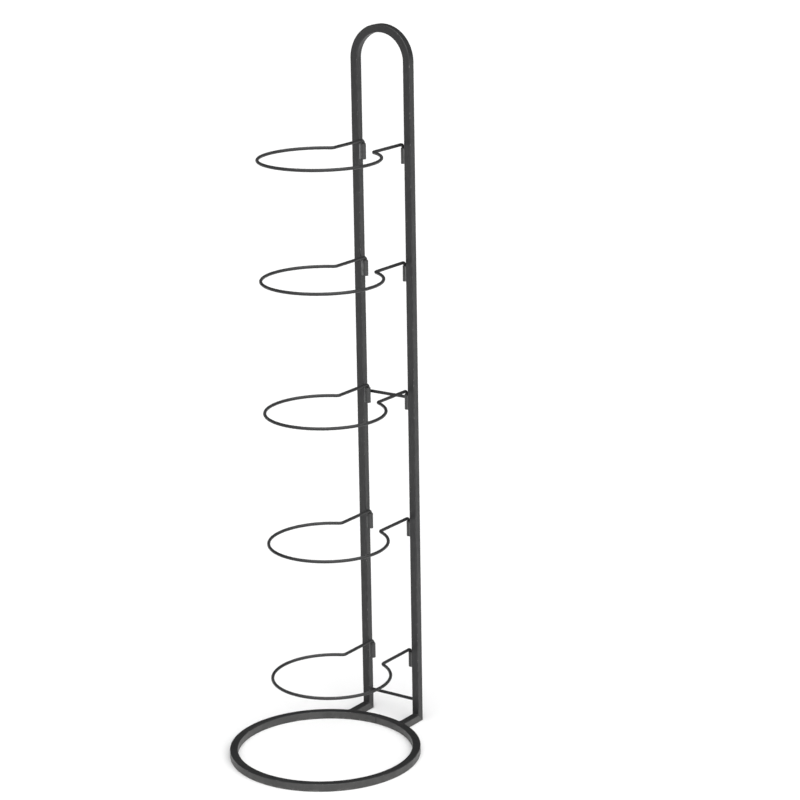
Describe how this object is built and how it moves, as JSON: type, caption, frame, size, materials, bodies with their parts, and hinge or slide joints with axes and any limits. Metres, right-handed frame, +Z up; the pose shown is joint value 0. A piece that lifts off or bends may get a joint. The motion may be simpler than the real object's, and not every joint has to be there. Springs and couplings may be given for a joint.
{
  "type": "ring storage rack",
  "caption": "Tall free-standing storage rack: open wire rings hooked one above another on an arched frame of square tube that rises from a round floor ring.",
  "frame": {"origin": "on the floor at the middle of the footprint", "axes": "+Z up; -Y towards the front, the way the rings reach; +X to the right seen from the front"},
  "size_m": [0.48, 0.556, 1.8],
  "materials": {
    "frame_coat": "satin powder coat",
    "wire_coat": "satin powder coat"
  },
  "bodies": {
    "frame": {"base_ring": "frame_coat", "top_arch": "frame_coat", "left_foot_stub": "frame_coat", "right_foot_stub": "frame_coat", "left_upright": "frame_coat", "right_upright": "frame_coat", "lower_cross_bar": "frame_coat", "middle_cross_bar": "frame_coat", "left_socket_1": "frame_coat", "left_socket_plate_1": "frame_coat", "right_socket_1": "frame_coat", "right_socket_plate_1": "frame_coat", "left_socket_2": "frame_coat", "left_socket_plate_2": "frame_coat", "right_socket_2": "frame_coat", "right_socket_plate_2": "frame_coat", "left_socket_3": "frame_coat", "left_socket_plate_3": "frame_coat", "right_socket_3": "frame_coat", "right_socket_plate_3": "frame_coat", "left_socket_4": "frame_coat", "left_socket_plate_4": "frame_coat", "right_socket_4": "frame_coat", "right_socket_plate_4": "frame_coat", "left_socket_5": "frame_coat", "left_socket_plate_5": "frame_coat", "right_socket_5": "frame_coat", "right_socket_plate_5": "frame_coat"},
    "ring_1": {"wire_ring_1": "wire_coat"},
    "ring_2": {"wire_ring_2": "wire_coat"},
    "ring_3": {"wire_ring_3": "wire_coat"},
    "ring_4": {"wire_ring_4": "wire_coat"},
    "ring_5": {"wire_ring_5": "wire_coat"}
  },
  "joints": [
    {"name": "ring_1_lift", "type": "slide", "parent": "frame", "child": "ring_1", "axis": [0, 0, 1], "range_m": [0, 0.06]},
    {"name": "ring_2_lift", "type": "slide", "parent": "frame", "child": "ring_2", "axis": [0, 0, 1], "range_m": [0, 0.06]},
    {"name": "ring_3_lift", "type": "slide", "parent": "frame", "child": "ring_3", "axis": [0, 0, 1], "range_m": [0, 0.06]},
    {"name": "ring_4_lift", "type": "slide", "parent": "frame", "child": "ring_4", "axis": [0, 0, 1], "range_m": [0, 0.06]},
    {"name": "ring_5_lift", "type": "slide", "parent": "frame", "child": "ring_5", "axis": [0, 0, 1], "range_m": [0, 0.06]}
  ]
}
